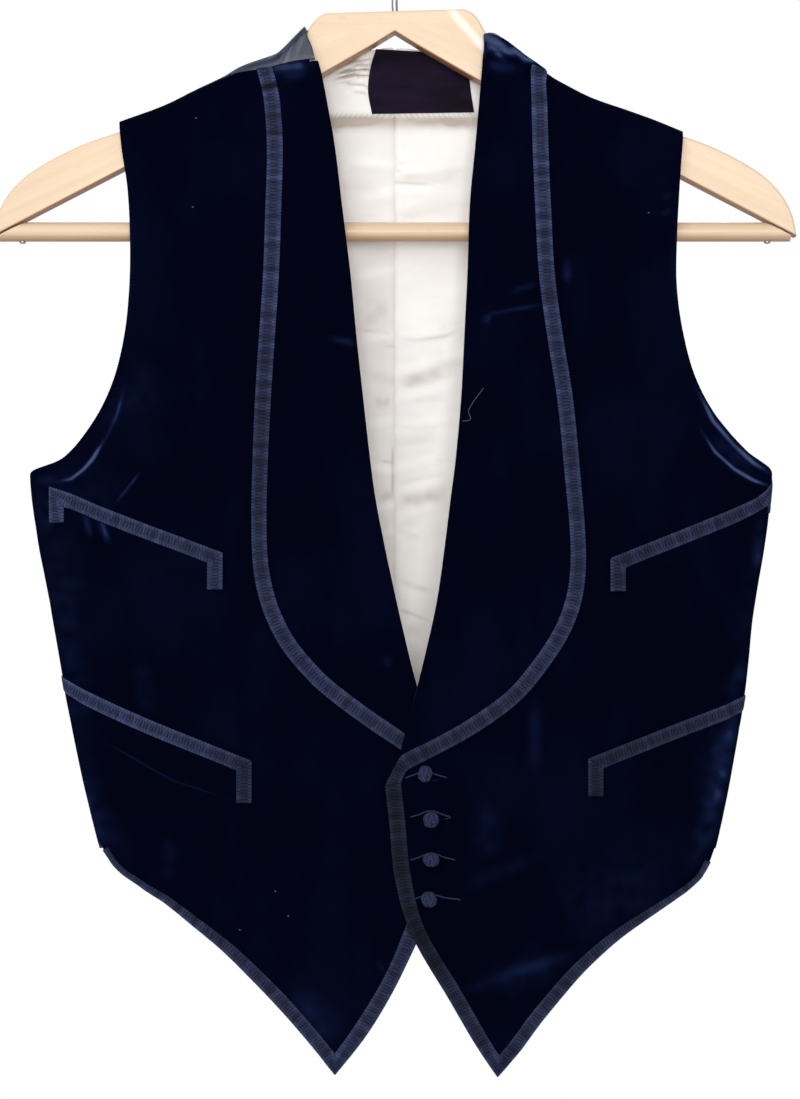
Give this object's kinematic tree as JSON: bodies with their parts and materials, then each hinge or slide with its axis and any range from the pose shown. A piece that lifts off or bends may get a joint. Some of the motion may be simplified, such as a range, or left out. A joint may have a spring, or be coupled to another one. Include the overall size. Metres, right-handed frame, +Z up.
{
  "type": "waistcoat on a wooden hanger",
  "caption": "Dark velvet shawl-collar waistcoat trimmed with flat braid, buttoned in front and hung on a wooden hanger with a trouser bar.",
  "frame": {"origin": "top of the inner curve of the hanger's hook, where a rail carries it", "axes": "+X towards the wearer's left, -Y towards the front of the waistcoat, +Z up; the hook's rail runs along Y"},
  "size_m": [0.443, 0.0603, 0.6461],
  "materials": {
    "velvet": "dark navy cotton velvet, soft pile",
    "braid": "flat ribbed mohair braid, slate navy",
    "satin": "grey-navy satin back",
    "lining": "cream sateen",
    "patch": "dark plum satin, plain",
    "button": "cord-covered knot",
    "wood": "pale varnished wood",
    "steel": "plated wire"
  },
  "bodies": {
    "root": {"front_right": "velvet", "front_left": "velvet", "collar_right": "velvet", "collar_left": "velvet", "welt_upper_right": "velvet", "welt_upper_left": "velvet", "welt_lower_right": "velvet", "welt_lower_left": "velvet", "braid_collar_right": "braid", "braid_collar_left": "braid", "braid_edge_right": "braid", "braid_edge_left": "braid", "braid_welt_upper_right": "braid", "braid_welt_upper_left": "braid", "braid_welt_lower_right": "braid", "braid_welt_lower_left": "braid", "back_right": "satin", "back_left": "satin", "lining_back_right": "lining", "lining_back_left": "lining", "neck_patch": "patch", "button_1": "button", "button_2": "button", "button_3": "button", "button_4": "button", "hanger_body": "wood", "hanger_bar": "wood", "hanger_hook": "steel", "hanger_screw_right": "steel", "hanger_screw_left": "steel"}
  },
  "joints": []
}
